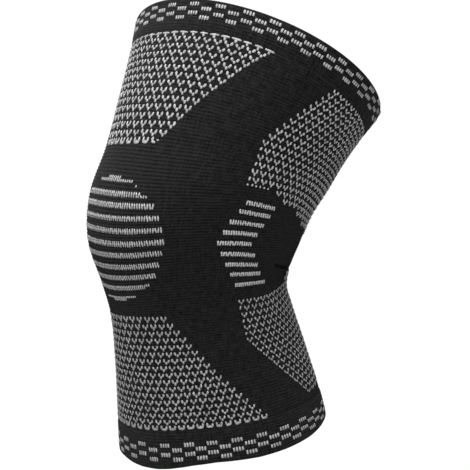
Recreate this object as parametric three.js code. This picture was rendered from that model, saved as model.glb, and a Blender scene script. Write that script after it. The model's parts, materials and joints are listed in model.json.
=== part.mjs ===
import * as THREE from "three";

// Sizes are in mm. +Z is up the leg, -Y is the front of the knee and +X its side.
// The origin is the middle of the hollow behind the kneecap, where the knee holds the sleeve up.

// The knee's own section
const KNEE_WIDTH = 113;
const KNEE_DEPTH = 137;
const KNEECAP_DIP = 1.4;

// The hollow behind the knee and the crease in the knit above it
const HOLLOW_DEPTH = 1.3;
const HOLLOW_HEIGHT = 9;
const CREASE_DEPTH = 1;
const CREASE_HEIGHT = 2.2;
const CREASE_DROP = 7.5;

// The thigh end: how far its rim's middle lies above and behind the knee's, how it leans, and its section
const THIGH_REACH = 106;
const THIGH_SETBACK = 48;
const THIGH_LEAN = 30.3;
const THIGH_WIDTH = 175;
const THIGH_DEPTH = 155;

// The shin end, the same way
const SHIN_REACH = 118;
const SHIN_SETBACK = 21;
const SHIN_LEAN = 13.1;
const SHIN_WIDTH = 133;
const SHIN_DEPTH = 126;

// The knit
const WALL = 2.2;
const CUFF_WALL = 3.0;
const CUFF_RISE = 0.5;
const UPPER_CUFF_HEIGHT = 16.5;
const LOWER_CUFF_HEIGHT = 20;
const CUFF_GAP = 0.3;

// Facets
const AROUND = 52;
const STEP_LENGTH = 7;
const CREASE_STEPS = 12;
const CUFF_STEPS = 4;
const RIM_STEPS = 6;

const RADIANS = Math.PI / 180;

// The leg inside, from the upper rim to the lower one. "at" is the share of the sleeve's length from the upper rim.
// up, back and lean are shares of the reach, setback and lean of the row's own end of the leg, and wide and deep
// are shares of the section there, which runs evenly from the knee's to that end's.
const SECTIONS = [
  { end: "thigh", at: 0.0, up: 1.0, back: 1.0, lean: 1.0, wide: 1.0, deep: 1.0 },
  { end: "thigh", at: 0.07, up: 0.856, back: 0.826, lean: 0.949, wide: 0.994, deep: 0.964 },
  { end: "thigh", at: 0.179, up: 0.638, back: 0.583, lean: 0.74, wide: 0.975, deep: 0.952 },
  { end: "thigh", at: 0.294, up: 0.407, back: 0.349, lean: 0.452, wide: 0.967, deep: 0.973 },
  { end: "thigh", at: 0.388, up: 0.211, back: 0.11, lean: 0.22, wide: 0.986, deep: 1.011 },
  { end: "thigh", at: 0.488, up: 0.0, back: 0.0, lean: 0.046, wide: 1.0, deep: 1.0 },
  { end: "shin", at: 0.587, up: 0.193, back: 0.022, lean: 0.174, wide: 0.869, deep: 0.884 },
  { end: "shin", at: 0.672, up: 0.348, back: 0.237, lean: 0.377, wide: 0.842, deep: 0.861 },
  { end: "shin", at: 0.796, up: 0.58, back: 0.549, lean: 0.565, wide: 0.891, deep: 0.91 },
  { end: "shin", at: 0.915, up: 0.836, back: 0.847, lean: 0.767, wide: 0.964, deep: 0.972 },
  { end: "shin", at: 1.0, up: 1.0, back: 1.0, lean: 1.0, wide: 1.0, deep: 1.0 },
];

// Where the kneecap's side dips and the hollow lie: "at" as above, side and spread in degrees from the front, span as
// a share of the sleeve's length. The crease starts at a side, and slopes down to the back, mostly within its slope.
const KNEECAP = { at: 0.49, span: 0.14, side: 66, spread: 14 };
const HOLLOW = { at: 0.63, side: 180, spread: 62 };
const CREASE = { at: 0.5436, side: 108, start: 14, slope: 30 };

const ENDS = {
  thigh: { side: 1, reach: THIGH_REACH, setback: THIGH_SETBACK, lean: THIGH_LEAN, width: THIGH_WIDTH, depth: THIGH_DEPTH },
  shin: { side: -1, reach: SHIN_REACH, setback: SHIN_SETBACK, lean: SHIN_LEAN, width: SHIN_WIDTH, depth: SHIN_DEPTH },
};

// One row of the table as a section in mm and radians: its middle, its lean and its half width and depth.
function sized(row) {
  const end = ENDS[row.end];
  const width = KNEE_WIDTH + (end.width - KNEE_WIDTH) * row.up;
  const depth = KNEE_DEPTH + (end.depth - KNEE_DEPTH) * row.up;
  return {
    at: row.at,
    z: end.side * end.reach * row.up,
    y: end.setback * row.back,
    lean: -end.side * end.lean * row.lean * RADIANS,
    width: (width / 2) * row.wide,
    depth: (depth / 2) * row.deep,
  };
}

const ROWS = SECTIONS.map(sized);

// The slope of one value of the rows at row i.
function slope(key, i) {
  const before = ROWS[Math.max(i - 1, 0)];
  const after = ROWS[Math.min(i + 1, ROWS.length - 1)];
  return (after[key] - before[key]) / (after.at - before.at);
}

// One value of the rows at a share of the length, on a smooth curve through all of them.
function along(key, at) {
  let i = 0;
  while (i < ROWS.length - 2 && at > ROWS[i + 1].at) i += 1;
  const from = ROWS[i];
  const to = ROWS[i + 1];
  const span = to.at - from.at;
  const t = (at - from.at) / span;
  const ease = t * t * (3 - 2 * t);
  const leave = span * slope(key, i) * t * (1 - t) * (1 - t);
  const arrive = span * slope(key, i + 1) * t * t * (t - 1);
  return from[key] + (to[key] - from[key]) * ease + leave + arrive;
}

// The length of the middle line from rim to rim.
function middleLength(steps) {
  let length = 0;
  for (let i = 0; i < steps; i += 1) {
    const rise = along("z", (i + 1) / steps) - along("z", i / steps);
    const shift = along("y", (i + 1) / steps) - along("y", i / steps);
    length += Math.hypot(rise, shift);
  }
  return length;
}

const LENGTH = middleLength(60);

// A soft hump that is 1 at the middle and falls away at the stated reach.
function hump(distance, reach) {
  return Math.exp(-((distance / reach) ** 2));
}

// The crease's depth as a share of its full one, at a distance in mm down the sleeve and a turn in degrees.
function creased(down, turn) {
  const past = Math.max(turn - CREASE.side, 0);
  const level = CREASE.at * LENGTH + CREASE_DROP * (1 - Math.exp(-past / CREASE.slope));
  const grown = Math.min(past / CREASE.start, 1);
  return hump(down - level, CREASE_HEIGHT) * grown * grown * (3 - 2 * grown);
}

// How far the leg's skin stands out of its plain oval section: less beside the kneecap, in the hollow behind the knee
// and in the crease.
function relief(at, angle) {
  const turn = Math.abs(angle) / RADIANS;
  const cap = hump(at - KNEECAP.at, KNEECAP.span) * hump(turn - KNEECAP.side, KNEECAP.spread);
  const hollow = hump((at - HOLLOW.at) * LENGTH, HOLLOW_HEIGHT) * hump(turn - HOLLOW.side, HOLLOW.spread);
  return -KNEECAP_DIP * cap - HOLLOW_DEPTH * hollow - CREASE_DEPTH * creased(at * LENGTH, turn);
}

// A point of the sleeve: how far down from the upper rim in mm, the angle from the front, and how far out of the skin.
function skin(down, angle, out) {
  const at = down / LENGTH;
  const stands = out + relief(at, angle);
  const across = (along("width", at) + stands) * Math.sin(angle);
  const deep = -(along("depth", at) + stands) * Math.cos(angle);
  const lean = along("lean", at);
  return [across, along("y", at) + deep * Math.cos(lean), along("z", at) + deep * Math.sin(lean)];
}

// The closed band that a closed profile of [down, out] points sweeps round the leg.
function band(profile) {
  const points = [];
  const faces = [];
  profile.forEach(([down, out], i) => {
    const next = (i + 1) % profile.length;
    for (let j = 0; j < AROUND; j += 1) {
      const angle = ((j * 360) / AROUND - 180) * RADIANS;
      points.push(...skin(down, angle, out));
      const turn = (j + 1) % AROUND;
      const a = i * AROUND + j;
      const b = next * AROUND + j;
      const c = next * AROUND + turn;
      const d = i * AROUND + turn;
      faces.push(a, b, c, a, c, d);
    }
  });
  const geometry = new THREE.BufferGeometry();
  geometry.setAttribute("position", new THREE.Float32BufferAttribute(points, 3));
  geometry.setIndex(faces);
  geometry.computeVertexNormals();
  return geometry;
}

// Evenly spaced values from one to another, both included.
function spread(from, to, steps) {
  return Array.from({ length: steps + 1 }, (_, i) => from + ((to - from) * i) / steps);
}

// The heights of the body's rings, closer together over the crease.
function bodyLevels() {
  const top = UPPER_CUFF_HEIGHT + CUFF_GAP;
  const bottom = LENGTH - LOWER_CUFF_HEIGHT - CUFF_GAP;
  const creaseTop = CREASE.at * LENGTH - 2 * CREASE_HEIGHT;
  const creaseBottom = CREASE.at * LENGTH + CREASE_DROP + 2 * CREASE_HEIGHT;
  const above = spread(top, creaseTop, Math.ceil((creaseTop - top) / STEP_LENGTH));
  const over = spread(creaseTop, creaseBottom, CREASE_STEPS);
  const below = spread(creaseBottom, bottom, Math.ceil((bottom - creaseBottom) / STEP_LENGTH));
  return [...above, ...over.slice(1), ...below.slice(1)];
}

// The tube between the cuffs, an even wall.
function bodyProfile() {
  const levels = bodyLevels();
  const outer = levels.map((down) => [down, 0]);
  const inner = levels.map((down) => [down, -WALL]).reverse();
  return [...outer, ...inner];
}

// A cuff of some height at the upper rim: thicker than the body, with its rim folded over in a half round.
function cuffProfile(height) {
  const radius = CUFF_WALL / 2;
  const middle = CUFF_RISE - radius;
  const levels = spread(radius, height, CUFF_STEPS);
  const outer = levels.map((down) => [down, middle + radius]);
  const inner = levels.map((down) => [down, middle - radius]).reverse();
  const fold = spread(-90, 90, RIM_STEPS)
    .slice(1, -1)
    .map((turn) => [radius - radius * Math.cos(turn * RADIANS), middle + radius * Math.sin(turn * RADIANS)]);
  return [...outer, ...inner, ...fold];
}

// The same cuff turned over, at the lower rim.
function lowerCuffProfile(height) {
  return cuffProfile(height)
    .map(([down, out]) => [LENGTH - down, out])
    .reverse();
}

function piece(name, profile, material) {
  const mesh = new THREE.Mesh(band(profile), material);
  mesh.name = name;
  return mesh;
}

const bodyKnit = new THREE.MeshStandardMaterial({ color: 0x2a2a2c, roughness: 0.9 });
const cuffKnit = new THREE.MeshStandardMaterial({ color: 0x343436, roughness: 0.9 });

const sleeve = new THREE.Group();
sleeve.name = "knee_sleeve";
sleeve.add(piece("knit_body", bodyProfile(), bodyKnit));
sleeve.add(piece("upper_cuff", cuffProfile(UPPER_CUFF_HEIGHT), cuffKnit));
sleeve.add(piece("lower_cuff", lowerCuffProfile(LOWER_CUFF_HEIGHT), cuffKnit));

export default sleeve;
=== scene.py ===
import json
import math

import bpy
import numpy as np
from mathutils import Matrix, Vector

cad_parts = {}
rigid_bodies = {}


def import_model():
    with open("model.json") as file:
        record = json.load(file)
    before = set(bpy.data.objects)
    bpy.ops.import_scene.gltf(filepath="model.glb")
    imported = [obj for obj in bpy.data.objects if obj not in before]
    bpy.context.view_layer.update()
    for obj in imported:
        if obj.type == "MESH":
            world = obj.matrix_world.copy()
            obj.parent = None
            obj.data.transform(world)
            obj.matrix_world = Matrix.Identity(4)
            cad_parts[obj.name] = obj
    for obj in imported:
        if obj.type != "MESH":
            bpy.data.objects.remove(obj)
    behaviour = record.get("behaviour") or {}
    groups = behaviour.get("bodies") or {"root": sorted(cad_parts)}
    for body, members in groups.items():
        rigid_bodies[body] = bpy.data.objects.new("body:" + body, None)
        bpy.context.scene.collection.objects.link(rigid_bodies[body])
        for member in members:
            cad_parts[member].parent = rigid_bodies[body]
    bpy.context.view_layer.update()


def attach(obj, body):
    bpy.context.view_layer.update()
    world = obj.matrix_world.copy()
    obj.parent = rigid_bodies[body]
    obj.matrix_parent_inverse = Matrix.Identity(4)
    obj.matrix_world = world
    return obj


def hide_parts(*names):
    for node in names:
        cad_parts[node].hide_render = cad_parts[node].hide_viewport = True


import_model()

# Lengths are in mm up to the point where a mesh is made; MM turns them into metres.
MM = 0.001

# The leg inside the sleeve, the same sizes as in part.mjs
KNEE_WIDTH = 113
KNEE_DEPTH = 137
KNEECAP_DIP = 1.4
HOLLOW_DEPTH = 1.3
HOLLOW_HEIGHT = 9
CREASE_DEPTH = 1.0
CREASE_HEIGHT = 2.2
CREASE_DROP = 7.5
KNEECAP = {"at": 0.49, "span": 0.14, "side": 66, "spread": 14}
HOLLOW = {"at": 0.63, "side": 180, "spread": 62}
CREASE = {"at": 0.5436, "side": 108, "start": 14, "slope": 30}
ENDS = {
    "thigh": {"side": 1, "reach": 106, "setback": 48, "lean": 30.3, "width": 175, "depth": 155},
    "shin": {"side": -1, "reach": 118, "setback": 21, "lean": 13.1, "width": 133, "depth": 126},
}

# Each section: its end, its share of the length, and the shares of reach, setback, lean, width and depth
SECTIONS = [
    ("thigh", 0.0, 1.0, 1.0, 1.0, 1.0, 1.0),
    ("thigh", 0.07, 0.856, 0.826, 0.949, 0.994, 0.964),
    ("thigh", 0.179, 0.638, 0.583, 0.74, 0.975, 0.952),
    ("thigh", 0.294, 0.407, 0.349, 0.452, 0.967, 0.973),
    ("thigh", 0.388, 0.211, 0.11, 0.22, 0.986, 1.011),
    ("thigh", 0.488, 0.0, 0.0, 0.046, 1.0, 1.0),
    ("shin", 0.587, 0.193, 0.022, 0.174, 0.869, 0.884),
    ("shin", 0.672, 0.348, 0.237, 0.377, 0.842, 0.861),
    ("shin", 0.796, 0.58, 0.549, 0.565, 0.891, 0.91),
    ("shin", 0.915, 0.836, 0.847, 0.767, 0.964, 0.972),
    ("shin", 1.0, 1.0, 1.0, 1.0, 1.0, 1.0),
]

# The cloth's own fold at the crease: a lip over a narrow groove, which closes between two turns
LIP_RISE = 0.8
LIP_ABOVE = 2.6
LIP_REACH = 2.0
GROOVE_DEPTH = 2.8
GROOVE_REACH = 1.0
GROOVE_START = 7
GROOVE_CLOSES = (130, 139)
CLOSED_SHARE = 0.6

# The knit
WALL = 2.2
CUFF_WALL = 3.0
CUFF_RISE = 0.5
UPPER_CUFF_HEIGHT = 16.5
LOWER_CUFF_HEIGHT = 20.0
RIB_PITCH = 1.56
RIB_HEIGHT = 0.4
SEAM_GAP = 0.1
WALES = 256
AROUND = 256
INNER_STEP = 4.0

# The cuffs' finer ribs, and where each cuff is drawn in to the body at its seam edge
CUFF_RIB_PITCH = 0.8
CUFF_RIB_RISE = 0.04
CUFF_RIB_MARGIN = 0.6
CUFF_DRAWN_IN = (3.5, 0.5)
CUFF_EDGE_OUT = [(0.2, -0.1), (0.0, -0.5)]
CUFF_EDGE_IN = (0.3, 0.1)
CUFF_INNER_ROWS = 6
CUFF_FOLD_STEPS = 15


def sized(row):
    """A section in mm and radians: share of the length, height, setback, lean, half width and half depth."""
    end = ENDS[row[0]]
    at, up, back, lean, wide, deep = row[1:]
    width = KNEE_WIDTH + (end["width"] - KNEE_WIDTH) * up
    depth = KNEE_DEPTH + (end["depth"] - KNEE_DEPTH) * up
    height = end["side"] * end["reach"] * up
    tilt = math.radians(-end["side"] * end["lean"] * lean)
    return (at, height, end["setback"] * back, tilt, width / 2 * wide, depth / 2 * deep)


ROWS = np.array([sized(row) for row in SECTIONS])
AT, HEIGHT, SETBACK, LEAN, HALF_WIDTH, HALF_DEPTH = range(6)


def along(key, at):
    """One value of the sections at shares of the length, on a smooth curve through all of them."""
    at = np.asarray(at, float)
    last = len(ROWS) - 1
    i = np.clip(np.searchsorted(ROWS[:, AT], at, side="right") - 1, 0, last - 1)
    before = np.maximum(np.arange(last + 1) - 1, 0)
    after = np.minimum(np.arange(last + 1) + 1, last)
    slopes = (ROWS[after, key] - ROWS[before, key]) / (ROWS[after, AT] - ROWS[before, AT])
    span = ROWS[i + 1, AT] - ROWS[i, AT]
    t = (at - ROWS[i, AT]) / span
    ease = t * t * (3 - 2 * t)
    leave = span * slopes[i] * t * (1 - t) ** 2
    arrive = span * slopes[i + 1] * t * t * (t - 1)
    return ROWS[i, key] + (ROWS[i + 1, key] - ROWS[i, key]) * ease + leave + arrive


def middle_length(steps):
    """The length of the middle line from rim to rim."""
    at = np.linspace(0, 1, steps + 1)
    return float(np.hypot(np.diff(along(HEIGHT, at)), np.diff(along(SETBACK, at))).sum())


LENGTH = middle_length(60)


def hump(distance, reach):
    """1 at no distance, falling away softly at the reach."""
    return np.exp(-((distance / reach) ** 2))


def smooth(value, start, end):
    """0 before the start and 1 past the end, with a soft step between."""
    t = np.clip((value - start) / (end - start), 0, 1)
    return t * t * (3 - 2 * t)


def looked_up(table, value):
    """The value that a table of pairs gives, in straight lines between its rows."""
    return np.interp(value, *zip(*table))


def crease_line(turn):
    """How far past its start the crease is at a turn in degrees, and its level there in mm."""
    past = np.maximum(turn - CREASE["side"], 0)
    return past, CREASE["at"] * LENGTH + CREASE_DROP * (1 - np.exp(-past / CREASE["slope"]))


def creased(down, turn):
    """The crease's depth as a share of its full one, at a distance down the sleeve and a turn in degrees."""
    past, level = crease_line(turn)
    grown = np.minimum(past / CREASE["start"], 1)
    return hump(down - level, CREASE_HEIGHT) * grown * grown * (3 - 2 * grown)


def relief(at, angle):
    """How far the skin stands out of its plain oval, with the kneecap's sides, the hollow and the crease."""
    turn = np.degrees(np.abs((angle + math.pi) % (2 * math.pi) - math.pi))
    cap = hump(at - KNEECAP["at"], KNEECAP["span"]) * hump(turn - KNEECAP["side"], KNEECAP["spread"])
    hollow = hump((at - HOLLOW["at"]) * LENGTH, HOLLOW_HEIGHT) * hump(turn - HOLLOW["side"], HOLLOW["spread"])
    lips = crease_lips(at * LENGTH, turn)
    return lips - KNEECAP_DIP * cap - HOLLOW_DEPTH * hollow - CREASE_DEPTH * creased(at * LENGTH, turn)


def crease_lips(down, turn):
    """The cloth's own fold at the crease: a soft lip over a narrow groove, which closes towards the back."""
    past, level = crease_line(turn)
    closed = smooth(turn, *GROOVE_CLOSES)
    lip = LIP_RISE * hump(down - level + LIP_ABOVE, LIP_REACH)
    groove = GROOVE_DEPTH * hump(down - level, GROOVE_REACH)
    fold = smooth(past, 0, GROOVE_START) * (lip - groove)
    return fold * (1 - closed) + CLOSED_SHARE * CREASE_DEPTH * closed * creased(down, turn)


def section_point(down, angle, out):
    """Points of the sleeve in mm: down from the upper rim, at an angle of the section, out of the skin."""
    at = down / LENGTH
    stands = out + relief(at, angle)
    across = (along(HALF_WIDTH, at) + stands) * np.sin(angle)
    deep = -(along(HALF_DEPTH, at) + stands) * np.cos(angle)
    lean = along(LEAN, at)
    y = along(SETBACK, at) + deep * np.cos(lean)
    z = along(HEIGHT, at) + deep * np.sin(lean)
    return np.stack(np.broadcast_arrays(across, y, z), -1)


# Wales lie at even steps round the leg, so a turn is a share of the way round times 360, 0 at the front.
TURN_LEVELS = np.linspace(0, LENGTH, 121)
TURN_ANGLES = np.linspace(-math.pi, math.pi, 541)


def turn_table():
    """The turn of each section angle at each level."""
    points = section_point(TURN_LEVELS[:, None], TURN_ANGLES[None], 0.0)
    steps = np.linalg.norm(np.diff(points, axis=1), axis=2)
    passed = np.concatenate([np.zeros((len(TURN_LEVELS), 1)), np.cumsum(steps, axis=1)], 1)
    return (passed / passed[:, -1:] - 0.5) * 360


TURNS = turn_table()


def angle_of(down, turn):
    """The section angle of turns in degrees, for arrays of one shape."""
    down, turn = np.broadcast_arrays(np.asarray(down, float), np.asarray(turn, float))
    level = np.clip(down / LENGTH, 0, 1) * (len(TURN_LEVELS) - 1)
    i = np.minimum(level.astype(int), len(TURN_LEVELS) - 2).ravel()
    t = level.ravel() - i
    wrapped = ((turn + 180) % 360 - 180).ravel()
    found = np.empty((2, wrapped.size))
    for step in (0, 1):
        for k in np.unique(i):
            here = i == k
            found[step, here] = np.interp(wrapped[here], TURNS[k + step], TURN_ANGLES)
    return (found[0] * (1 - t) + found[1] * t).reshape(down.shape)


def skin(down, turn, out):
    """Points of the sleeve in mm: down from the upper rim, at a turn in degrees, out of the skin."""
    return section_point(down, angle_of(down, turn), out)


# The courses are level but for two places: they sag in front of the kneecap and are drawn to the fold behind,
# by the shifts that DRAWN gives at its levels.
SAG = 4.0
SAG_SPREAD = 38.0
SAG_TURN = 20
SAG_LEAN = 0.5
SAG_TOP = 93
SAG_MIDDLE = 115
SAG_REACH = 45
SAG_ENDS = (55, 95)
DRAW_TURNS = (98, 143)
DRAWN = [(0, 0), (17, 0), (50, 0), (85, 6), (110, 5), (131, 0), (145, -7), (175, -7), (205, -3), (217.3, 0)]


def sag(down, turn):
    """How far the courses over the kneecap rise beside their lowest point."""
    lowest = SAG_TURN - SAG_LEAN * (down - SAG_TOP)
    return -SAG * (1 - np.exp(-(((turn - lowest) / SAG_SPREAD) ** 2)))


def settle(down, turn):
    """Where a course that is level at the sides lies at a turn."""
    turn = (turn + 180) % 360 - 180
    front = (1 - smooth(np.abs(turn), *SAG_ENDS)) * hump(down - SAG_MIDDLE, SAG_REACH)
    rear = smooth(np.abs(turn), *DRAW_TURNS) * looked_up(DRAWN, down)
    return down + front * (sag(down, turn) + SAG) + rear


# How far the knit lies from its even layout once it is pulled on: down in mm and round in degrees, at these
# levels and turns. The side that the turns leave out mirrors the other one.
DRIFT_LEVELS = [3, 20, 40, 62, 84, 100, 116, 132, 148, 170, 192, 214, 232]
DRIFT_TURNS = [-40, -20, 0, 20, 40, 60, 80, 100, 120, 140]
MIRROR_TURN = 60
DRIFT_DOWN = [
    [-0.3, 0.6, 1.1, 0.1, -0.4, 0.1, 0.7, 0.6, -0.8, -2.4],
    [-0.4, 0.8, 1.7, 0.5, -0.3, -0.1, 0.1, 0.2, -0.2, -0.7],
    [-1.0, 0.8, 1.8, 0.5, -0.3, -0.2, -0.1, 0.4, 0.6, 0.7],
    [-1.0, 0.3, 0.9, 0.1, -0.3, -0.1, 0.5, 1.6, 1.7, 1.7],
    [0.9, 1.0, 0.6, -0.4, -0.2, -0.1, 0.4, 1.1, 1.8, 2.2],
    [1.2, 1.0, 0.8, 0.6, 0.8, 0.2, -0.2, 0.3, 1.3, 2.2],
    [0.8, 1.1, 1.4, 2.0, 2.0, 0.3, -0.5, -0.1, 0.8, 1.6],
    [0.7, 1.2, 1.8, 2.2, 2.0, 0.7, 0.0, 0.2, 0.6, 0.9],
    [0.6, 1.1, 1.5, 1.4, 1.1, 0.9, 0.7, 0.7, 0.4, 0.2],
    [0.5, 0.9, 1.3, 1.0, 0.9, 1.2, 0.8, 0.3, 0.0, -0.2],
    [0.4, 0.6, 0.8, 1.1, 0.7, 0.6, 0.2, -0.4, -0.4, -0.3],
    [0.2, 0.2, 0.3, 0.2, -0.3, 0.0, 0.3, 0.0, -0.1, -0.4],
    [0.2, 0.3, 0.3, 0.0, -0.5, 0.3, 0.8, 0.5, 0.1, -0.4],
]
DRIFT_TURN = [
    [0.3, 0.2, 0.0, 0.1, 0.1, 0.3, -0.7, -2.8, -3.0, -2.3],
    [0.3, 0.6, 0.6, 0.7, 0.6, 0.4, 0.8, -0.5, -0.9, -0.9],
    [0.3, 0.8, 1.0, 1.2, 2.1, 1.5, 1.7, 1.2, 0.9, 0.5],
    [0.0, 0.7, 1.3, 2.1, 2.1, 0.7, 0.8, 1.8, 1.8, 1.4],
    [-0.1, 0.3, 0.7, 1.2, 0.7, 0.0, 0.4, 1.4, 1.6, 1.6],
    [-0.3, -0.2, 0.0, 0.0, -0.2, -0.2, 0.0, 0.2, 0.8, 1.4],
    [-0.3, -0.2, -0.1, -0.1, 0.1, 0.0, -0.1, -0.5, 0.2, 1.1],
    [-0.5, -0.6, -0.8, -0.4, 0.2, -0.1, -1.0, -0.8, 0.1, 0.8],
    [-0.5, -0.4, 0.1, 0.6, 0.6, 0.2, 0.5, 0.9, 0.6, 0.5],
    [-0.5, 0.1, 0.6, 1.0, 0.4, -0.4, 0.0, 0.4, 0.5, 0.6],
    [-0.3, 0.2, 0.8, 0.6, -0.6, -1.4, -0.8, -0.3, 0.4, 0.7],
    [-0.4, 0.2, 0.7, 0.8, -0.3, -1.0, -0.3, -0.1, 0.3, 0.8],
    [-0.6, -0.3, 0.0, 0.3, -0.2, -1.2, -1.2, -0.5, 0.1, 0.7],
]


def all_round(table, sign):
    """A drift table and its turns all the way round, with the far side mirrored from MIRROR_TURN on."""
    near = np.array(table, float)
    side = DRIFT_TURNS.index(MIRROR_TURN)
    far = sign * near[:, : side - 1 : -1]
    back = near[:, -1:] * (1 + sign) / 2
    turns = [-180] + [-turn for turn in DRIFT_TURNS[: side - 1 : -1]] + DRIFT_TURNS + [180]
    return turns, np.concatenate([back, far, near, back], axis=1)


def drifted(down, turn):
    """Where marks laid out evenly lie on the worn knit."""
    shifts = []
    level = np.interp(down, DRIFT_LEVELS, np.arange(len(DRIFT_LEVELS)))
    low = np.minimum(level.astype(int), len(DRIFT_LEVELS) - 2)
    share = level - low
    wrapped = (turn + 180) % 360 - 180
    for table, sign in ((DRIFT_DOWN, 1), (DRIFT_TURN, -1)):
        turns, values = all_round(table, sign)
        column = np.interp(wrapped, turns, np.arange(len(turns)))
        left = np.minimum(column.astype(int), len(turns) - 2)
        part = column - left
        above = values[low, left] * (1 - part) + values[low, left + 1] * part
        below = values[low + 1, left] * (1 - part) + values[low + 1, left + 1] * part
        shifts.append(above * (1 - share) + below * share)
    return down + shifts[0], turn + shifts[1]


# Meshes and pieces


def placed(name, data):
    """A new object of the scene with this data."""
    piece = bpy.data.objects.new(name, data)
    bpy.context.scene.collection.objects.link(piece)
    return piece


def mesh_object(name, points, faces, uvs):
    """A smooth mesh object from points in mm; uvs hold one pair for each corner of each face."""
    mesh = bpy.data.meshes.new(name)
    mesh.from_pydata([tuple(p) for p in np.asarray(points) * MM], [], faces)
    mesh.polygons.foreach_set("use_smooth", [True] * len(mesh.polygons))
    layer = mesh.uv_layers.new(name="knit")
    layer.data.foreach_set("uv", np.asarray(uvs, np.float32).ravel())
    mesh.update()
    return placed(name, mesh)


# The lower rim hangs unevenly: how far down in mm at turns round from the front
RIM_DROOP = [(-180, 0.0), (-40, 0.0), (-20, -0.4), (-9, 0.6), (0, 1.2), (12, 1.4), (20, 0.9), (35, -0.7),
             (47, -1.1), (58, -0.3), (70, 0.7), (85, 1.1), (105, 0.9), (125, -0.3), (140, -0.3), (180, 0.0)]
RIM_HEIGHT = 3


def drooped(down, turn):
    """Where the lower cuff's rows lie once its rim hangs."""
    return down + looked_up(RIM_DROOP, turn) * smooth(down, LENGTH - LOWER_CUFF_HEIGHT, LENGTH - RIM_HEIGHT)


def swept_band(name, downs, outs, courses, laid):
    """A closed band round the leg from a closed profile.

    courses is the knit's row at each profile point, and laid moves the rows down or up, or is None.
    """
    count = len(downs)
    turns = np.linspace(-180, 180, AROUND + 1)[:-1]
    down, turn = np.meshgrid(downs, turns, indexing="ij")
    out = np.repeat(np.asarray(outs)[:, None], AROUND, axis=1)
    if laid is not None:
        down = laid(down, turn)
    points = skin(down, turn, out).reshape(-1, 3)
    i, j = np.meshgrid(np.arange(count), np.arange(AROUND), indexing="ij")
    ni = (i + 1) % count
    nj = (j + 1) % AROUND
    faces = np.stack([i * AROUND + j, ni * AROUND + j, ni * AROUND + nj, i * AROUND + nj], -1).reshape(-1, 4)
    u0 = j * WALES / AROUND
    u1 = (j + 1) * WALES / AROUND
    v0 = np.repeat(np.asarray(courses)[:, None], AROUND, axis=1)
    v1 = np.roll(v0, -1, axis=0)
    v1[-1] = v0[-1] + 1
    corners = [(u0, v0), (u0, v1), (u1, v1), (u1, v0)]
    uvs = np.stack([np.stack(corner, -1) for corner in corners], 2)
    return mesh_object(name, points, faces.tolist(), uvs.reshape(-1, 2))


def body_profile():
    """The tube between the cuffs: ribbed outside, plain inside."""
    top = UPPER_CUFF_HEIGHT + SEAM_GAP
    bottom = LENGTH - LOWER_CUFF_HEIGHT - SEAM_GAP
    ribs = round((bottom - top) / RIB_PITCH)
    outer = np.linspace(top, bottom, 2 * ribs + 1)
    rise = np.where(np.arange(2 * ribs + 1) % 2 == 1, RIB_HEIGHT / 2, -RIB_HEIGHT / 2)
    inner = np.linspace(bottom, top, round((bottom - top) / INNER_STEP))
    downs = np.concatenate([outer, inner])
    outs = np.concatenate([rise, np.full(len(inner), -WALL)])
    return downs, outs, (downs - top) / RIB_PITCH


def cuff_profile(height):
    """A cuff at the upper rim: its fold at the rim and its seam edge are rounded."""
    radius = CUFF_WALL / 2
    middle = CUFF_RISE - radius
    start, end = CUFF_DRAWN_IN
    ribs = round((height - radius - CUFF_RIB_MARGIN) / CUFF_RIB_PITCH)
    outer = np.linspace(radius, height - end, 2 * ribs + 1)
    rise = np.where(np.arange(2 * ribs + 1) % 2 == 1, CUFF_RIB_RISE, -CUFF_RIB_RISE)
    taper = 1 - smooth(outer, height - start, height - end)
    inset, corner = CUFF_EDGE_IN
    downs = list(outer) + [height - back for back, _ in CUFF_EDGE_OUT] + [height]
    outs = list(CUFF_RISE * taper + rise) + [out for _, out in CUFF_EDGE_OUT] + [middle - radius + corner]
    inner = np.linspace(height - inset, radius, CUFF_INNER_ROWS)
    downs += list(inner)
    outs += [middle - radius] * len(inner)
    turns = np.radians(np.linspace(-90, 90, CUFF_FOLD_STEPS)[1:-1])
    downs += list(radius - radius * np.cos(turns))
    outs += list(middle + radius * np.sin(turns))
    return np.array(downs), np.array(outs), np.array(downs) / RIB_PITCH


# Stitches: each is a short strand of yarn, drawn in mm in a cell of CELL, that stands out of the cloth
CELL = (6.6, 4.4)
SINK = 0.22
FLATTENED = 1.12
STITCH_TILT = 3.5
UNEVENNESS = 0.1


def strand(path, half_width, rise, end, sides=6):
    """A closed strand along a path in the plane of the cloth, as points and faces.

    Its ends are end times as thick as its middle.
    """
    path = np.asarray(path, float)
    tangent = np.gradient(path, axis=0)
    tangent /= np.linalg.norm(tangent, axis=1)[:, None]
    normal = np.stack([-tangent[:, 1], tangent[:, 0]], -1)
    thick = np.ones(len(path))
    thick[0] = thick[-1] = end
    points = []
    for p, n, t in zip(path, normal, thick):
        for k in range(sides):
            a = 2 * math.pi * (k + 0.5) / sides
            z = rise * t * math.sin(a) if math.sin(a) > 0 else SINK * math.sin(a)
            w = half_width * t * math.cos(a) * FLATTENED
            points.append((p[0] + n[0] * w, p[1] + n[1] * w, z))
    faces = []
    for i in range(len(path) - 1):
        for k in range(sides):
            n = (k + 1) % sides
            faces.append((i * sides + k, (i + 1) * sides + k, (i + 1) * sides + n, i * sides + n))
    bulge = half_width * (1 - end)
    tips = [path[0] - tangent[0] * bulge, path[-1] + tangent[-1] * bulge]
    for last, tip in enumerate(tips):
        base = (len(path) - 1) * sides * last
        points.append((tip[0], tip[1], 0.0))
        for k in range(sides):
            n = (k + 1) % sides
            pair = (base + k, base + n) if last == 0 else (base + n, base + k)
            faces.append((*pair, len(points) - 1))
    return points, faces


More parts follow.
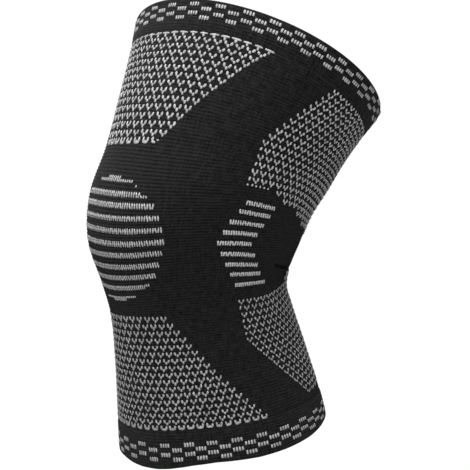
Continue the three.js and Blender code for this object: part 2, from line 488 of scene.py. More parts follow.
def joined(parts):
    """Several strands' points and faces as one list of each."""
    points = []
    faces = []
    for part_points, part_faces in parts:
        start = len(points)
        points += part_points
        faces += [tuple(i + start for i in face) for face in part_faces]
    return points, faces


# Each kind of strand: its half width, how far it stands out, and its ends' thickness
YARN = (0.78, 0.5, 0.62)
FINE_YARN = (0.66, 0.5, 0.62)
BAR_YARN = (0.32, 0.24, 0.8)

# The paths that the strands of a stitch follow
ARM = [(-1.9, 1.62), (-1.7, 0.7), (-1.2, -0.25)]
STEM = [(0.0, -0.05), (0.0, -0.8), (0.0, -1.6)]


def mirrored(path):
    return [(-x, y) for x, y in path]


SHAPES = {
    "0_vee": [ARM, STEM, mirrored(ARM)],
    "1_tee": [[(-2.4, 0.0), (0.0, 0.0), (2.4, 0.0)], [(0.0, -0.4), (0.0, -1.4), (0.0, -2.4)]],
    "2_cup": [[(-1.8, 1.8), (-1.75, 0.7), (-1.6, -0.4)], [(0.0, 0.4), (0.0, 0.0), (0.0, -0.3)],
              [(1.8, 1.8), (1.75, 0.7), (1.6, -0.4)], [(-1.8, -0.5), (0.0, -0.5), (1.8, -0.5)]],
    "3_right_arm": [mirrored(ARM)],
    "4_left_arm": [ARM],
    "5_dot": [[(0.0, 1.3), (0.0, 0.9), (0.0, 0.5)]],
    "6_open_cup": [[(-1.8, 1.8), (-1.75, 0.7), (-1.6, -0.4)], [(-1.8, -0.5), (-0.7, -0.5), (0.4, -0.5)],
                   [(1.7, 1.2), (1.7, 0.9), (1.7, 0.6)]],
}
VEE, TEE, CUP, RIGHT_ARM, LEFT_ARM, DOT, OPEN_CUP = range(len(SHAPES))

# The dense stripes' stitches are upright bars, or lean to one side in their cell
BAR_SHAPES = {
    "0_upright": [[(0.0, -0.44), (0.0, 0.0), (0.0, 0.44)]],
    "1_left": [[(0.16, -0.44), (0.0, 0.0), (-0.16, 0.44)]],
    "2_right": [[(-0.16, -0.44), (0.0, 0.0), (0.16, 0.44)]],
}
UPRIGHT = 0


def shape_collection(name, shapes, cell, yarn):
    """A collection of stitch meshes of one kind of strand, picked by their place in the alphabet."""
    group = bpy.data.collections.new(name)
    for key, paths in shapes.items():
        points, faces = joined([strand(path, *yarn) for path in paths])
        flat = np.array(points) * np.array([1 / cell[0], 1 / cell[1], 1.0])
        mesh = bpy.data.meshes.new(key)
        mesh.from_pydata([tuple(p) for p in flat], [], faces)
        mesh.polygons.foreach_set("use_smooth", [True] * len(faces))
        group.objects.link(bpy.data.objects.new(key, mesh))
    return group


def euler_of(x_axis, z_axis):
    """XYZ angles that turn a stitch to lie along x_axis and face z_axis."""
    z = z_axis / np.linalg.norm(z_axis, axis=1)[:, None]
    x = x_axis - z * (x_axis * z).sum(1)[:, None]
    x /= np.linalg.norm(x, axis=1)[:, None]
    y = np.cross(z, x)
    return np.stack([np.arctan2(y[:, 2], z[:, 2]), -np.arcsin(x[:, 2]), np.arctan2(x[:, 1], x[:, 0])], -1)


def stitch_points(name, marks, out, seed):
    """A points mesh for marks: rows of down, turn, slope, width in degrees, height in mm down, shape."""
    down, turn, slope, wide, tall, shape = np.array(marks, float).T
    down, turn = drifted(down, turn)
    here = skin(down, turn, out)
    step = 0.4
    right = skin(down + slope * step, turn + step, out)
    left = skin(down - slope * step, turn - step, out)
    across = (right - left) / (2 * step)
    upward = (skin(down - step, turn, out) - skin(down + step, turn, out)) / (2 * step)
    facing = np.cross(across, upward)
    facing /= np.linalg.norm(facing, axis=1)[:, None]
    tilt = np.random.default_rng(seed).normal(0, math.radians(STITCH_TILT), len(down))[:, None]
    across = across * np.cos(tilt) + np.cross(facing, across) * np.sin(tilt)
    lean = (across * upward).sum(1) / np.linalg.norm(across, axis=1) ** 2
    square = upward - across * lean[:, None]
    widths = np.linalg.norm(across, axis=1) * wide
    heights = np.linalg.norm(square, axis=1) * tall
    size = np.stack([widths, heights, np.ones(len(down))], -1)
    mesh = bpy.data.meshes.new(name)
    mesh.from_pydata([tuple(p) for p in here * MM], [], [])
    for key, value in (("turned", euler_of(across, facing)), ("sized", size * MM)):
        layer = mesh.attributes.new(key, "FLOAT_VECTOR", "POINT")
        layer.data.foreach_set("vector", value.astype(np.float32).ravel())
    mesh.attributes.new("shape", "INT", "POINT").data.foreach_set("value", shape.astype(np.int32))
    return placed(name, mesh)


def set_inputs(node, values):
    """Sets a node's inputs by their names."""
    for name, value in values.items():
        node.inputs[name].default_value = value


def stitch_tree():
    """Puts one stitch of a collection on each point, with its own turn and size and a little unevenness."""
    tree = bpy.data.node_groups.new("stitches_on_points", "GeometryNodeTree")
    inputs = {
        "Geometry": "Geometry",
        "Shapes": "Collection",
        "Thickness": "Float",
        "Unevenness": "Float",
        "Seed": "Int",
        "Yarn": "Material",
    }
    for name, kind in inputs.items():
        tree.interface.new_socket(name, in_out="INPUT", socket_type="NodeSocket" + kind)
    tree.interface.new_socket("Geometry", in_out="OUTPUT", socket_type="NodeSocketGeometry")
    nodes = tree.nodes
    link = tree.links.new
    given = nodes.new("NodeGroupInput")
    result = nodes.new("NodeGroupOutput")
    shapes = nodes.new("GeometryNodeCollectionInfo")
    set_inputs(shapes, {"Separate Children": True, "Reset Children": True})
    link(given.outputs["Shapes"], shapes.inputs["Collection"])

    def named(key, kind):
        node = nodes.new("GeometryNodeInputNamedAttribute")
        node.data_type = kind
        set_inputs(node, {"Name": key})
        return node.outputs["Attribute"]

    wobble = nodes.new("FunctionNodeRandomValue")
    wobble.data_type = "FLOAT_VECTOR"
    low = math_node(tree, "SUBTRACT", 1.0, given.outputs["Unevenness"])
    high = math_node(tree, "ADD", 1.0, given.outputs["Unevenness"])
    link(low, wobble.inputs[0])
    link(high, wobble.inputs[1])
    link(given.outputs["Seed"], wobble.inputs["Seed"])
    thick = nodes.new("ShaderNodeCombineXYZ")
    set_inputs(thick, {"X": 1.0, "Y": 1.0})
    link(given.outputs["Thickness"], thick.inputs["Z"])
    scale = vector_node(tree, "MULTIPLY", named("sized", "FLOAT_VECTOR"), thick.outputs[0])
    uneven = vector_node(tree, "MULTIPLY", scale.outputs[0], wobble.outputs[0])
    turn = nodes.new("FunctionNodeEulerToRotation")
    link(named("turned", "FLOAT_VECTOR"), turn.inputs[0])
    place = nodes.new("GeometryNodeInstanceOnPoints")
    set_inputs(place, {"Pick Instance": True})
    link(given.outputs["Geometry"], place.inputs["Points"])
    link(shapes.outputs[0], place.inputs["Instance"])
    link(named("shape", "INT"), place.inputs["Instance Index"])
    link(turn.outputs[0], place.inputs["Rotation"])
    link(uneven.outputs[0], place.inputs["Scale"])
    real = nodes.new("GeometryNodeRealizeInstances")
    link(place.outputs["Instances"], real.inputs["Geometry"])
    dye = nodes.new("GeometryNodeSetMaterial")
    link(real.outputs["Geometry"], dye.inputs["Geometry"])
    link(given.outputs["Yarn"], dye.inputs["Material"])
    link(dye.outputs["Geometry"], result.inputs["Geometry"])
    return tree


def stitched(name, marks, out, shapes, thickness, seed, yarn):
    """A plain mesh piece of stitches, made on its points by the node tree."""
    source = stitch_points(name + "_points", marks, out, seed)
    source.data.materials.append(yarn)
    modifier = source.modifiers.new("stitches", "NODES")
    modifier.node_group = STITCH_TREE
    values = {"Shapes": shapes, "Thickness": thickness, "Unevenness": UNEVENNESS, "Seed": seed, "Yarn": yarn}
    for item in STITCH_TREE.interface.items_tree:
        if item.in_out == "INPUT" and item.name in values:
            modifier[item.identifier] = values[item.name]
    depsgraph = bpy.context.evaluated_depsgraph_get()
    mesh = bpy.data.meshes.new_from_object(source.evaluated_get(depsgraph))
    mesh.name = name
    bpy.data.objects.remove(source)
    return placed(name, mesh)


# Where the marks lie. A mark is its level, turn, slope, width in degrees, height in mm and shape. Rows are
# counted from 0 down a field and columns from its middle line, in brick order. Row j of a front field lies at
# first + step * j + growth * j * j, and its columns lie pitch degrees apart, less further out by thinning.
UPPER_FRONT = {"rows": 15, "first": 16.9, "step": 3.3, "growth": 0.033, "pitch": 5.52, "thinning": 0.023,
               "columns": 10.5, "widens": -0.5, "last_lift": 0.4, "cup_height": 1.0}
LOWER_FRONT = {"rows": 17, "first": 156.8, "step": 4.42, "growth": -0.043, "pitch": 6.05, "thinning": 0.048,
               "columns": 5.5, "widens": 0.5, "last_lift": 0.0, "cup_height": 1.12}
MOST_COLUMNS = 40
COLUMN_SLACK = 0.1

# The knit's own front line wanders a little off the leg's: levels and turns
FRONT_LINE = [(17, 0.4), (69, -1.3), (157, -1.9), (216, 4.6)]


def row_level(field, j):
    """The level of a field's row."""
    return field["first"] + field["step"] * j + field["growth"] * j * j


def vee_marks(rows, level, halfway, turn_at, wide_at, kept, shape_at):
    """Marks of a field in brick order. halfway gives the first row's count from the middle line."""
    marks = []
    for j in range(rows):
        down = level(j)
        tall = (level(j + 1) - level(j - 1)) / 2
        offset = (halfway + j * 0.5) % 1.0
        for m in np.arange(offset, MOST_COLUMNS, 1.0):
            for side in ((1, -1) if m > 0 else (1,)):
                turn, slope, lies = turn_at(j, side * m, down)
                if kept(j, m, turn, lies):
                    marks.append((lies, turn, slope, wide_at(j, m), tall, shape_at(j, m, side)))
    return marks


def front_marks(field, shape_at):
    """A front field's marks, whose columns fan out from the knit's front line."""
    pitch = field["pitch"]
    thinning = field["thinning"]
    last_row = field["rows"] - 1

    def level(j):
        lift = field["last_lift"] if j == last_row else 0
        return row_level(field, j) - lift

    def turn_at(j, m, down):
        return looked_up(FRONT_LINE, down) + pitch * m - thinning * m * abs(m), 0.0, down

    def kept(j, m, turn, lies):
        return m < field["columns"] + field["widens"] * j + COLUMN_SLACK

    def wide_at(j, m):
        return pitch - 2 * thinning * m

    marks = vee_marks(field["rows"], level, 0.5, turn_at, wide_at, kept, shape_at)
    stretch = {CUP: field["cup_height"]}
    return [(*mark[:4], mark[4] * stretch.get(mark[5], 1), mark[5]) for mark in marks]


def upper_front_marks():
    """The field above the kneecap, a wedge that narrows downwards to a row of cups."""
    last_row = UPPER_FRONT["rows"] - 1

    def shape_at(j, m, side):
        if j == last_row and side > 0 and m > 3:
            return OPEN_CUP
        return {0: TEE, last_row: CUP}.get(j, VEE)

    return front_marks(UPPER_FRONT, shape_at)


def lower_front_marks():
    """The field below the kneecap, which widens downwards to a row of cups."""

    def shape_at(j, m, side):
        return CUP if j == LOWER_FRONT["rows"] - 1 else VEE

    return front_marks(LOWER_FRONT, shape_at)


# The rear fields' edges towards the knee: turns and levels
UPPER_REAR_BOTTOM = [(70, 83.5), (85.3, 83.6), (90.9, 85.6), (98.9, 89.2), (106.1, 91.6), (113.2, 95.0),
                     (123.4, 100.1), (136.3, 105.9), (150, 109), (180, 110)]
LOWER_REAR_TOP = [(80, 148.4), (100.1, 148.0), (108.5, 146.7), (114.8, 145.2), (122.5, 143.2), (130, 141.4),
                  (134, 137.6), (136, 135.2), (150, 134), (180, 133.5)]


def edge(table, turn):
    """A field's edge at a turn on either side."""
    return looked_up(table, abs(turn))


def rear_turn(pitch):
    """Turns counted from the back's middle line, on courses that are drawn to the fold."""

    def turn_at(j, m, down):
        turn = 180 - abs(m) * pitch(j)
        lies = float(settle(down, turn))
        slope = float(settle(down, turn + 1) - settle(down, turn - 1)) / 2
        side = 1 if m >= 0 else -1
        return turn * side, slope * side, lies

    return turn_at


# The most rows that a rear field can have; its edges cut it shorter. Row and column numbers are as above, but
# the lower field's rows are counted from its middle one, and the pitch changes by fanning from row to row.
REAR_ROWS = 26
UPPER_REAR = {"first": 19.07, "step": 3.5, "growth": 0.017, "pitch": 4.78, "fanning": -0.0218,
              "columns": 18.5, "most": 24.6, "outermost": 24.1, "top": 16.5, "margin": 0.9}
LOWER_REAR = {"middle": 5, "first": 150.4, "step": 4.25, "growth": -0.043, "pitch": 5.92, "fanning": 0.01,
              "columns": 17.1, "outermost": 16.6, "widest": 6, "bottom": 214.6, "margin": 1.2}

# The row of dots under the near end of the upper rear field
DOTS = {"count": 6, "level": 83.2, "first": 73.3, "step": 2.3, "wide": 5.2, "tall": 4.6}


def rear_shape(outermost):
    """Vees all over, but one arm alone in the outermost columns."""

    def shape_at(j, m, side):
        if m > outermost:
            return RIGHT_ARM if side > 0 else LEFT_ARM
        return VEE

    return shape_at


def upper_rear_marks():
    """The field at the back of the thigh."""
    field = UPPER_REAR

    def level(j):
        return row_level(field, j)

    def pitch(j):
        return field["pitch"] + field["fanning"] * j

    def kept(j, m, turn, lies):
        if m > field["columns"] + j / 2 + COLUMN_SLACK or m > field["most"]:
            return False
        return field["top"] < lies < edge(UPPER_REAR_BOTTOM, turn) - field["margin"]

    shape_at = rear_shape(field["outermost"])
    marks = vee_marks(REAR_ROWS, level, 0.5, rear_turn(pitch), lambda j, m: pitch(j), kept, shape_at)
    for k in range(DOTS["count"]):
        turn = DOTS["first"] + DOTS["step"] * k
        marks += [(DOTS["level"], side * turn, 0.0, DOTS["wide"], DOTS["tall"], DOT) for side in (1, -1)]
    return marks


def lower_rear_marks():
    """The field at the back of the calf, which narrows downwards from its widest rows."""
    field = LOWER_REAR

    def level(j):
        n = j - field["middle"]
        return field["first"] + field["step"] * n + field["growth"] * n * abs(n)

    def pitch(j):
        return field["pitch"] + field["fanning"] * (j - field["middle"])

    def kept(j, m, turn, lies):
        below = j - field["middle"] - field["widest"]
        widest = field["columns"] if below <= 0 else field["outermost"] - below / 2
        return m < widest and edge(LOWER_REAR_TOP, turn) + field["margin"] < lies < field["bottom"]

    shape_at = rear_shape(field["outermost"])
    return vee_marks(REAR_ROWS, level, 0.0, rear_turn(pitch), lambda j, m: pitch(j), kept, shape_at)


# One column of stitches, in degrees
WALE = 360 / WALES

# The kneecap's stripes from the top one down: level, and its ends in degrees, or those of its upper half and
# then of its lower half
KNEECAP_STRIPES = [
    (86.8, (-2.7, 7.8), (-9.4, 15.4)),
    (93.0, (-19.5, 23.1), (-22.5, 26.4)),
    (98.0, (-27.5, 31.1)),
    (103.6, (-32.0, 35.5)),
    (109.4, (-34.0, 37.3)),
    (115.3, (-35.5, 38.9)),
    (121.0, (-34.0, 37.4)),
    (127.0, (-32.3, 35.7)),
    (132.7, (-28.3, 31.7)),
    (138.4, (-23.5, 27.0), (-20.3, 23.7)),
    (144.6, (-14.0, 16.1), (-6.1, 6.8)),
]

# One stitch that stands alone beside the uppermost stripes
LONE_STITCH = (89.4, 18.6, 0.0, WALE, 1.2, UPRIGHT)

# The side pads' stripes: turn and level of the front end, and of the rear end
SIDE_STRIPES = [
    ((76.6, 91.7), (95.1, 93.0)),
    ((74.8, 97.2), (93.9, 98.5)),
    ((71.5, 103.4), (92.2, 104.6)),
    ((69.3, 109.4), (90.2, 110.5)),
    ((67.1, 115.3), (88.5, 116.4)),
    ((70.1, 121.3), (92.0, 122.8)),
    ((73.5, 127.4), (96.1, 128.7)),
    ((77.1, 133.3), (99.8, 133.9)),
    ((80.0, 139.7), (104.6, 139.3)),
]

# The stripes' heights in mm, and how many columns wide a side pad's bar is
STRIPE_HEIGHT = 2.75
SIDE_STRIPE_HEIGHT = 2.6
SIDE_BAR_WIDTH = 1.15
BAR_CELL = (1.0, 1.0)
KNEECAP_SEED = 31
SIDE_SEED = 32


def leaning(chance, k):
    """The shape of a stripe's k-th stitch: upright, or leaning left and right in turn as a zigzag."""
    if chance.random() < 0.5:
        return int(chance.choice([0, 0, 1, 2]))
    return 1 + k % 2


def kneecap_marks():
    """The striped oval. Where a stripe's halves differ in length, its ends are half as high."""
    marks = []
    chance = np.random.default_rng(KNEECAP_SEED)
    half = STRIPE_HEIGHT / 2
    for level, *halves in KNEECAP_STRIPES:
        upper, lower = halves[0], halves[-1]
        start = min(upper[0], lower[0])
        count = round((max(upper[1], lower[1]) - start) / WALE)
        for k in range(count):
            turn = start + (k + 0.5) * WALE
            in_upper = upper[0] < turn < upper[1]
            in_lower = lower[0] < turn < lower[1]
            tall = STRIPE_HEIGHT if in_upper and in_lower else half
            shift = 0.0 if tall > half else (-half / 2 if in_upper else half / 2)
            lies = level + shift + float(sag(level, turn))
            slope = float(sag(level, turn + 0.5) - sag(level, turn - 0.5))
            marks.append((lies, turn, slope, WALE, tall, leaning(chance, k)))
    marks.append(LONE_STITCH)
    return marks


def side_marks(side):
    """The stripes of one side pad: side is 1 or -1."""
    marks = []
    chance = np.random.default_rng(SIDE_SEED)
    for (from_turn, from_level), (to_turn, to_level) in SIDE_STRIPES:
        count = round((to_turn - from_turn) / WALE)
        slope = (to_level - from_level) / (to_turn - from_turn)
        for k in range(count):
            turn = from_turn + (k + 0.5) * WALE
            lies = from_level + slope * (turn - from_turn)
            wide = WALE * SIDE_BAR_WIDTH
            marks.append((lies, side * turn, side * slope, wide, SIDE_STRIPE_HEIGHT, leaning(chance, k)))
    return marks


# The cuffs' dashes: the rows' levels, the first column's turn, pairs of columns all round, a dash's height,
# and at some turns how many degrees the stretched knit shifts them away from the front
UPPER_DASHES = {
    "rows": [2.9, 5.15, 7.4, 9.65],
    "first": 2.7,
    "pairs": 30,
    "tall": 2.05,
    "warp": [(0, 0), (14.7, 1.4), (26.7, 2.5), (38.7, 3.3), (50.7, 2.8), (62.7, 1.8), (74.7, 0.5),
             (86.7, 0.7), (98.7, 1.2), (110.7, 0.7), (180, 0)],
}
LOWER_DASHES = {
    "rows": [225.3, 227.9, 230.3, 232.9],
    "first": 2.2,
    "pairs": 25,
    "tall": 2.3,
    "warp": [(0, 0), (2.2, 0.4), (17, 2.5), (31, 3.0), (45, 1.6), (60, 0.8), (74, -0.2), (89, -0.9),
             (103, -1.7), (117, -2.4), (180, 0)],
}
DASH_BARS = 4
BARS_A_PAIR = 10
BAR_SPACING = 1.08
BAR_WIDTH = 1.25


def warped(table, turn):
    """Where a dash laid out at an even turn ends up on the stretched knit."""
    turn = (turn + 180) % 360 - 180
    shift = looked_up(table, abs(turn))
    return turn + (shift if turn >= 0 else -shift)


def dash_marks(dashes):
    """Short dashes of four bars in a draughtboard of four rows."""
    marks = []
    pair = 360 / dashes["pairs"]
    bar = pair / BARS_A_PAIR
    for index, level in enumerate(dashes["rows"]):
        shift = (index % 2) * pair / 2
        for column in range(dashes["pairs"]):
            start = dashes["first"] + shift + column * pair
            for k in range(DASH_BARS):
                turn = warped(dashes["warp"], start) + (k - (DASH_BARS - 1) / 2) * bar * BAR_SPACING
                marks.append((level, turn, 0.0, bar * BAR_WIDTH, dashes["tall"], UPRIGHT))
    return marks


# Materials


def new_material(name):
    """A material, its node tree and its Principled shader."""
    material = bpy.data.materials.new(name)
    material.use_nodes = True
    tree = material.node_tree
    shader = next(n for n in tree.nodes if n.type == "BSDF_PRINCIPLED")
    return material, tree, shader


def math_node(tree, operation, *values):
    """A Math node's result. Each value is a number or another node's output."""
    node = tree.nodes.new("ShaderNodeMath")
    node.operation = operation
    for socket, value in zip(node.inputs, values):
        if isinstance(value, (int, float)):
            socket.default_value = value
        else:
            tree.links.new(value, socket)
    return node.outputs[0]


# A stitch's leg in the plain knit: how many courses it slants by, how round it is, and its depth's share
LEG_SLANT = 0.5
LEG_ROUNDNESS = 0.6
LEG_DEPTH = 0.7


def stockinette_group():
    """The plain knit's height: two slanted legs to a stitch. The vector counts wales and courses."""
    tree = bpy.data.node_groups.new("stockinette", "ShaderNodeTree")
    tree.interface.new_socket("Vector", in_out="INPUT", socket_type="NodeSocketVector")
    tree.interface.new_socket("Height", in_out="OUTPUT", socket_type="NodeSocketFloat")
    given = tree.nodes.new("NodeGroupInput")
    result = tree.nodes.new("NodeGroupOutput")
    split = tree.nodes.new("ShaderNodeSeparateXYZ")
    tree.links.new(given.outputs["Vector"], split.inputs[0])
    share = math_node(tree, "FRACT", split.outputs["X"])
    from_middle = math_node(tree, "ABSOLUTE", math_node(tree, "SUBTRACT", share, 0.5))
    slanted = math_node(tree, "ADD", split.outputs["Y"], math_node(tree, "MULTIPLY", from_middle, LEG_SLANT))
    wave = math_node(tree, "SINE", math_node(tree, "MULTIPLY", slanted, math.pi))
    leg = math_node(tree, "ABSOLUTE", wave)
    across = math_node(tree, "SINE", math_node(tree, "MULTIPLY", from_middle, 2 * math.pi))
    rounded = math_node(tree, "POWER", across, LEG_ROUNDNESS)
    deep = math_node(tree, "ADD", 1 - LEG_DEPTH, math_node(tree, "MULTIPLY", leg, LEG_DEPTH))
    tree.links.new(math_node(tree, "MULTIPLY", rounded, deep), result.inputs["Height"])
    return tree


def noise(tree, vector, scale, detail):
    """A Noise Texture's value."""
    node = tree.nodes.new("ShaderNodeTexNoise")
    set_inputs(node, {"Scale": scale, "Detail": detail})
    tree.links.new(vector, node.inputs["Vector"])
    return node.outputs["Fac"]


def ramp(tree, value, low, high):
    """A colour ramp node from one colour to another by a value."""
    node = tree.nodes.new("ShaderNodeValToRGB")
    node.color_ramp.elements[0].color = (*low, 1)
    node.color_ramp.elements[1].color = (*high, 1)
    tree.links.new(value, node.inputs["Fac"])
    return node


def vector_node(tree, operation, vector, other):
    """A Vector Math node. The other vector is three numbers or another node's output."""
    node = tree.nodes.new("ShaderNodeVectorMath")
    node.operation = operation
    tree.links.new(vector, node.inputs[0])
    if isinstance(other, tuple):
        node.inputs[1].default_value = other
    else:
        tree.links.new(other, node.inputs[1])
    return node


def scaled(tree, vector, factors):
    """A vector with each part times its own factor."""
    return vector_node(tree, "MULTIPLY", vector, factors).outputs[0]


def add_bump(tree, shader, height, strength, distance):
    """Bump on a shader from a height; the distance is in mm."""
    bump = tree.nodes.new("ShaderNodeBump")
    set_inputs(bump, {"Strength": strength, "Distance": distance * MM})
    tree.links.new(height, bump.inputs["Height"])
    tree.links.new(bump.outputs["Normal"], shader.inputs["Normal"])


def mixed_sum(tree, start, parts):
    """A start value and other values, each times its own weight, summed."""
    total = start
    for value, weight in parts:
        total = math_node(tree, "MULTIPLY_ADD", value, weight, total)
    return total


# The knit opens where the kneecap stretches it most, and its painted shade in the stitches' hollows is deeper
# there: around this point, out to a reach, in metres
OPEN_POINT = (0.0, -0.066, 0.03)
OPEN_NEAR = 0.03
OPEN_FAR = 0.085
MEAN_STITCH = 0.55


def opened(tree, place):
    """1 where the knit is stretched open in front of the knee, falling to 0 away from it."""
    distance = vector_node(tree, "DISTANCE", place, OPEN_POINT)
    share = tree.nodes.new("ShaderNodeMapRange")
    share.interpolation_type = "SMOOTHSTEP"
    tree.links.new(distance.outputs["Value"], share.inputs["Value"])
    set_inputs(share, {"From Min": OPEN_NEAR, "From Max": OPEN_FAR, "To Min": 1.0, "To Max": 0.0})
    return share.outputs["Result"]


# The knit's noises: fibres and patches at the object's scale, and bands along the courses and the wales
FIBRE_SCALE = 1400
PATCH_SCALE = 90
COURSE_BANDS = (0.3, 1.6, 0.0)
WALE_BANDS = (1.3, 0.3, 0.0)

# The knit's shade starts below its darkest colour, and each part adds to it by its own weight. The stitch and
# opened parts are painted shade: the colour is darker in the stitches' hollows, most where the knit is
# opened.
SHADE_START = -1.92
SHADE_WEIGHTS = {"stitch": 0.75, "opened": 1.2, "fibre": 1.4, "courses": 1.2, "wales": 1.2, "patch": 0.2}
FIBRE_RELIEF = 0.5


def knit_material(name, low, high):
    """Black knit: stitch relief from the knit's own UV map, which also darkens the colour in the stitches'
    hollows as painted shade, uneven courses and wales, and a fibrous grain.
    """
    material, tree, shader = new_material(name)
    knit = tree.nodes.new("ShaderNodeUVMap")
    knit.uv_map = "knit"
    stitches = tree.nodes.new("ShaderNodeGroup")
    stitches.node_tree = STOCKINETTE
    tree.links.new(knit.outputs["UV"], stitches.inputs["Vector"])
    place = tree.nodes.new("ShaderNodeTexCoord").outputs["Object"]
    raised = stitches.outputs["Height"]
    # Painted shade: the stitches' height darkens the colour in their hollows, and more so where the knit is
    # opened
    painted_hollow_shade = math_node(tree, "SUBTRACT", raised, MEAN_STITCH)
    parts = {
        "stitch": raised,
        "opened": math_node(tree, "MULTIPLY", painted_hollow_shade, opened(tree, place)),
        "fibre": noise(tree, place, FIBRE_SCALE, 3),
        "courses": noise(tree, scaled(tree, knit.outputs["UV"], COURSE_BANDS), 1.0, 1),
        "wales": noise(tree, scaled(tree, knit.outputs["UV"], WALE_BANDS), 1.0, 1),
        "patch": noise(tree, place, PATCH_SCALE, 3),
    }
    shade = mixed_sum(tree, SHADE_START, [(parts[key], SHADE_WEIGHTS[key]) for key in parts])
    colour = ramp(tree, shade, low, high)
    tree.links.new(colour.outputs["Color"], shader.inputs["Base Color"])
    height = mixed_sum(tree, raised, [(parts["fibre"], FIBRE_RELIEF)])
    add_bump(tree, shader, height, 0.9, 0.3)
    set_inputs(shader, {"Roughness": 0.92, "Specular IOR Level": 0.18})
    set_inputs(shader, {"Sheen Weight": 0.06, "Sheen Roughness": 0.5})
    return material


TWIST_SCALE = 3200


def yarn_material(name, low, high, patch_scale=420):
    """Off-white yarn with a fine twist and grain."""
    material, tree, shader = new_material(name)
    place = tree.nodes.new("ShaderNodeTexCoord").outputs["Object"]
    fibre = noise(tree, place, TWIST_SCALE, 2)
    patch = noise(tree, place, patch_scale, 1)
    shade = mixed_sum(tree, 0.0, [(fibre, 0.4), (patch, 0.6)])
    colour = ramp(tree, shade, low, high)
    colour.color_ramp.elements[0].position = 0.3
    colour.color_ramp.elements[1].position = 0.7
    tree.links.new(colour.outputs["Color"], shader.inputs["Base Color"])
    add_bump(tree, shader, fibre, 0.6, 0.12)
    set_inputs(shader, {"Roughness": 0.85, "Specular IOR Level": 0.2})
    return material


STOCKINETTE = stockinette_group()
BLACKS = (0.001, 0.001, 0.0011), (0.03, 0.03, 0.0308)
BLACK_KNIT = knit_material("black_knit", *BLACKS)
CUFF_KNIT = knit_material("cuff_knit", *BLACKS)
MESH_YARN = yarn_material("mesh_yarn", (0.38, 0.38, 0.385), (0.9, 0.9, 0.9))
# The calf's yarn is a darker copy of the mesh yarn: painted shade for the dimmer light on the lower leg
SHADED_CALF_YARN = yarn_material("calf_mesh_yarn_painted_shade", (0.31, 0.31, 0.314), (0.77, 0.77, 0.77))
DASH_YARN = yarn_material("dash_yarn", (0.4, 0.4, 0.404), (0.84, 0.84, 0.84))
STRIPE_YARN = yarn_material("stripe_yarn", (0.34, 0.34, 0.344), (0.97, 0.97, 0.97), 700)
# The side pads' yarn is a brighter copy of the white yarn: painted light falling on the sides
LIT_SIDE_YARN = yarn_material("side_stripe_yarn_painted_light", (0.74, 0.74, 0.745), (0.98, 0.98, 0.98))
STITCH_TREE = stitch_tree()

# The cloth

body = swept_band("knitted_body", *body_profile(), settle)
body.data.materials.append(BLACK_KNIT)
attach(body, "root")
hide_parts("knit_body")

upper_cuff = swept_band("upper_elastic_cuff", *cuff_profile(UPPER_CUFF_HEIGHT), None)
downs, outs, courses = cuff_profile(LOWER_CUFF_HEIGHT)
lower_cuff = swept_band("lower_elastic_cuff", LENGTH - downs[::-1], outs[::-1], courses[::-1], drooped)
for cuff, node in ((upper_cuff, "upper_cuff"), (lower_cuff, "lower_cuff")):
    cuff.data.materials.append(CUFF_KNIT)
    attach(cuff, "root")
    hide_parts(node)

# The white stitches

VEES = shape_collection("vee_stitches", SHAPES, CELL, YARN)
FINE_VEES = shape_collection("fine_vee_stitches", SHAPES, CELL, FINE_YARN)
BARS = shape_collection("bar_stitches", BAR_SHAPES, BAR_CELL, BAR_YARN)
STITCH_LAYERS = [
    ("upper_front_vees", upper_front_marks(), 0.0, VEES, 1.0, 11, MESH_YARN),
    ("lower_front_vees", lower_front_marks(), 0.0, VEES, 1.0, 12, SHADED_CALF_YARN),
    ("upper_rear_vees", upper_rear_marks(), 0.0, VEES, 1.0, 13, MESH_YARN),
    ("lower_rear_vees", lower_rear_marks(), 0.0, FINE_VEES, 1.0, 14, SHADED_CALF_YARN),
    ("kneecap_stripes", kneecap_marks(), 0.0, BARS, 1.0, 15, STRIPE_YARN),
    ("outer_side_stripes", side_marks(1), 0.0, BARS, 1.0, 16, LIT_SIDE_YARN),
    ("inner_side_stripes", side_marks(-1), 0.0, BARS, 1.0, 17, LIT_SIDE_YARN),
    ("upper_cuff_dashes", dash_marks(UPPER_DASHES), CUFF_RISE, BARS, 0.9, 18, DASH_YARN),
    ("lower_cuff_dashes", dash_marks(LOWER_DASHES), CUFF_RISE, BARS, 0.9, 19, DASH_YARN),
]
layers = {}
for name, marks, out, shapes, thickness, seed, yarn in STITCH_LAYERS:
    layers[name] = stitched(name, marks, out, shapes, thickness, seed, yarn)
    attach(layers[name], "root")
    "cuff_knit" if "cuff" in name else "body_knit"
    triangles = sum(len(face.vertices) - 2 for face in layers[name].data.polygons)
    print("stitches", name, len(marks), "triangles", triangles)
for group in (VEES, FINE_VEES, BARS):
    for shape in list(group.objects):
        bpy.data.objects.remove(shape)
    bpy.data.collections.remove(group)

# The studio: floor and sky look white to the camera, and light the sleeve as a pale floor and a dim sky

FLOOR_DROP = 0.55
FLOOR_REACH = 3.0
SEEN_WHITE = 1.05
SKY_FILL = 0.04


def split_by_ray(tree, lighting, seen, output):
    """Shows one shader to camera rays and lights the scene with another."""
    path = tree.nodes.new("ShaderNodeLightPath")
    mixed = tree.nodes.new("ShaderNodeMixShader")
    tree.links.new(path.outputs["Is Camera Ray"], mixed.inputs["Fac"])
    tree.links.new(lighting.outputs[0], mixed.inputs[1])
    tree.links.new(seen.outputs[0], mixed.inputs[2])
    tree.links.new(mixed.outputs[0], output.inputs["Surface"])


def white_sky(tree, strength):
    """A white Background node."""
    node = tree.nodes.new("ShaderNodeBackground")
    set_inputs(node, {"Color": (1, 1, 1, 1), "Strength": strength})
    return node


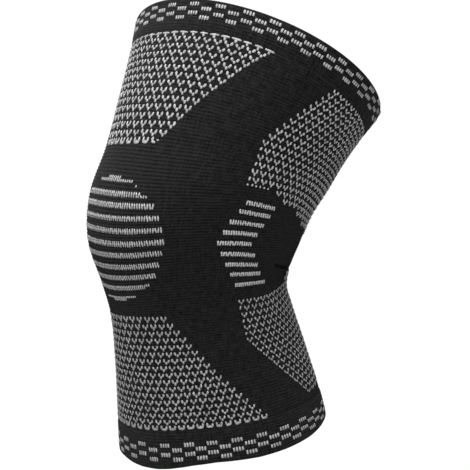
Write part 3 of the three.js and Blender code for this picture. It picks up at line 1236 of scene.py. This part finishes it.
floor_mesh = bpy.data.meshes.new("floor")
floor_signs = [(-1, -1), (1, -1), (1, 1), (-1, 1)]
floor_corners = [(x * FLOOR_REACH, y * FLOOR_REACH, -FLOOR_DROP) for x, y in floor_signs]
floor_mesh.from_pydata(floor_corners, [], [(0, 1, 2, 3)])
floor = placed("floor", floor_mesh)
pale, pale_tree, pale_shader = new_material("pale_floor")
set_inputs(pale_shader, {"Base Color": (0.8, 0.8, 0.8, 1), "Roughness": 0.9})
glow = pale_tree.nodes.new("ShaderNodeEmission")
set_inputs(glow, {"Strength": SEEN_WHITE})
surface = next(n for n in pale_tree.nodes if n.type == "OUTPUT_MATERIAL")
split_by_ray(pale_tree, pale_shader, glow, surface)
floor_mesh.materials.append(pale)

world = bpy.data.worlds.new("studio")
world.use_nodes = True
bpy.context.scene.world = world
tree = world.node_tree
tree.nodes.clear()
surroundings = tree.nodes.new("ShaderNodeOutputWorld")
split_by_ray(tree, white_sky(tree, SKY_FILL), white_sky(tree, SEEN_WHITE), surroundings)


def soft_light(name, place, energy, size):
    """A round area light that faces the origin and that the camera doesn't see."""
    light = bpy.data.lights.new(name, "AREA")
    light.energy = energy
    light.shape = "DISK"
    light.size = size
    lamp = placed(name, light)
    lamp.location = place
    lamp.rotation_euler = (-Vector(place)).to_track_quat("-Z", "Y").to_euler()
    lamp.visible_camera = False


CAMERA_PLACE = Vector((0.76393, -0.58765, 0.0424))
CAMERA_BACK = Vector((0.77647169, -0.62885674, 0.04038457))
CAMERA_RIGHT = Vector((0.62936992, 0.77710586, 0.0))
soft_light("key", CAMERA_BACK * 0.28 - CAMERA_RIGHT * 0.18 + Vector((0, 0, 0.88)), 7.8, 0.7)
soft_light("front_fill", CAMERA_BACK * 1.15 + Vector((0, 0, 0.38)), 5.7, 0.9)
soft_light("rear_fill", CAMERA_BACK * -1.3 - CAMERA_RIGHT * 0.15 + Vector((0, 0, 0.5)), 11, 1.0)

FOCAL_PIXELS = 1586.2
IMAGE_PIXELS = 470
SENSOR = 36.0
camera_data = bpy.data.cameras.new("camera")
camera_data.sensor_width = SENSOR
camera_data.lens = SENSOR * FOCAL_PIXELS / IMAGE_PIXELS
camera_data.clip_start = 0.05
camera = placed("camera", camera_data)
camera_up = CAMERA_BACK.cross(CAMERA_RIGHT).normalized()
turned = Matrix((CAMERA_RIGHT.normalized(), camera_up, CAMERA_BACK.normalized())).transposed()
camera.matrix_world = Matrix.Translation(CAMERA_PLACE) @ turned.to_4x4()
bpy.context.scene.camera = camera
bpy.context.scene.view_settings.view_transform = "Standard"
